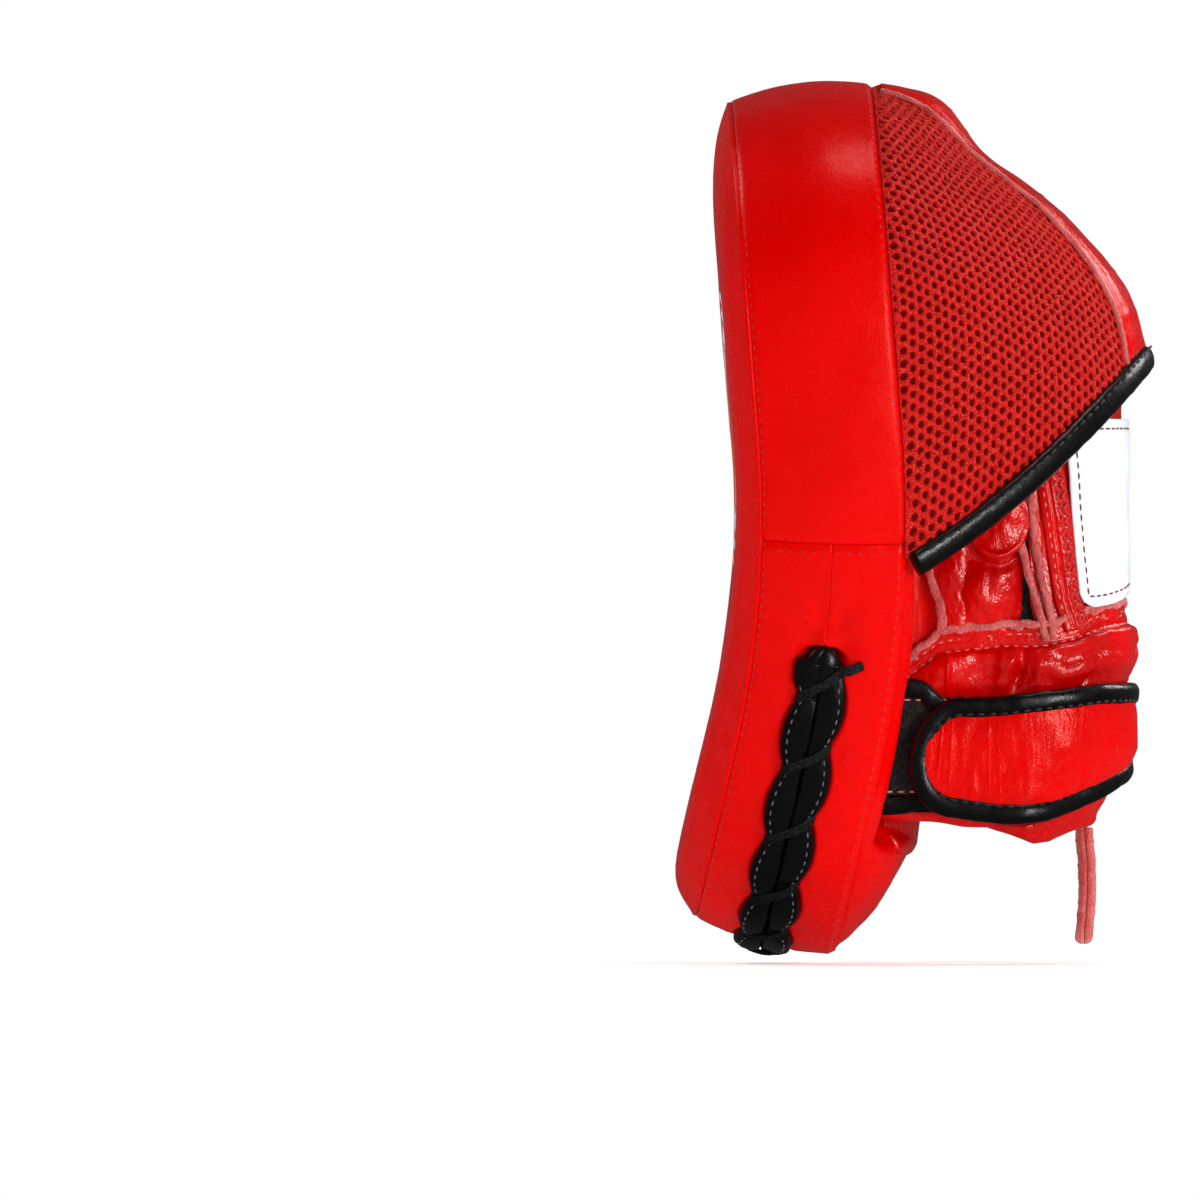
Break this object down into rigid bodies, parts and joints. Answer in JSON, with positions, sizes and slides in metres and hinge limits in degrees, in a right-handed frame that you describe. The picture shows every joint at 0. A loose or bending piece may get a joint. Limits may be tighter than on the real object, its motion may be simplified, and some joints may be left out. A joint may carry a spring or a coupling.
{
  "type": "focus mitt",
  "caption": "Curved leather focus mitt for the right hand: padded striking face, laced lower wall, mesh hood over the fingers, thumb stall, wrist cuff with a hook-and-loop strap and a pull tab.",
  "frame": {"origin": "middle of the opening that the hand goes in by, inside the wrist cuff", "axes": "+Z along the hand to the fingertips, -Y out of the striking face, +X to the thumb side"},
  "size_m": [0.1772, 0.1438, 0.2641],
  "materials": {
    "red_leather": "semi-gloss grained",
    "black_leather": "satin",
    "white_leather": "satin",
    "suede": "raw flesh side",
    "red_mesh": "open spacer mesh",
    "black_cloth": "matt",
    "foam": "closed-cell foam"
  },
  "bodies": {
    "mitt": {"face_cover": "red_leather", "gusset_upper": "red_leather", "gusset_lower": "red_leather", "back_cover": "red_leather", "foam_front": "foam", "foam_core": "foam", "foam_rear": "foam", "lacing_roll_front": "black_leather", "lacing_roll_rear": "black_leather", "lacing_tongue": "black_leather", "lace": "black_leather", "hood_mesh_thumb_side": "red_mesh", "hood_mesh_outer_side": "red_mesh", "hood_spine": "red_leather", "hood_binding": "black_leather", "palm_panel": "red_leather", "hand_back_panel": "red_leather", "hand_back_lining": "black_cloth", "seam_strip_thumb_side": "red_leather", "seam_strip_outer_side": "red_leather", "label_patch": "white_leather", "thumb_stall": "red_leather", "thumb_gap_liner": "black_cloth", "cuff_shell": "red_leather", "cuff_padding": "foam", "cuff_lining": "black_cloth", "loop_base": "black_leather", "loop_tape": "black_cloth", "strap_root": "red_leather", "strap_root_binding": "black_leather"},
    "strap_end": {"strap_flap": "red_leather", "strap_flap_binding": "black_leather", "hook_tape": "black_cloth"},
    "pull_tab_body": {"pull_tab": "suede"}
  },
  "joints": [
    {"name": "strap_open", "type": "hinge", "parent": "mitt", "child": "strap_end", "pos_m": [0.0424, 0.0356, 0.022], "axis": [0, 0, 1], "range_deg": [0, 110]},
    {"name": "pull_tab_swing", "type": "hinge", "parent": "mitt", "child": "pull_tab_body", "pos_m": [0, 0.0303, -0.0065], "axis": [1, 0, 0], "range_deg": [-60, 60]}
  ]
}
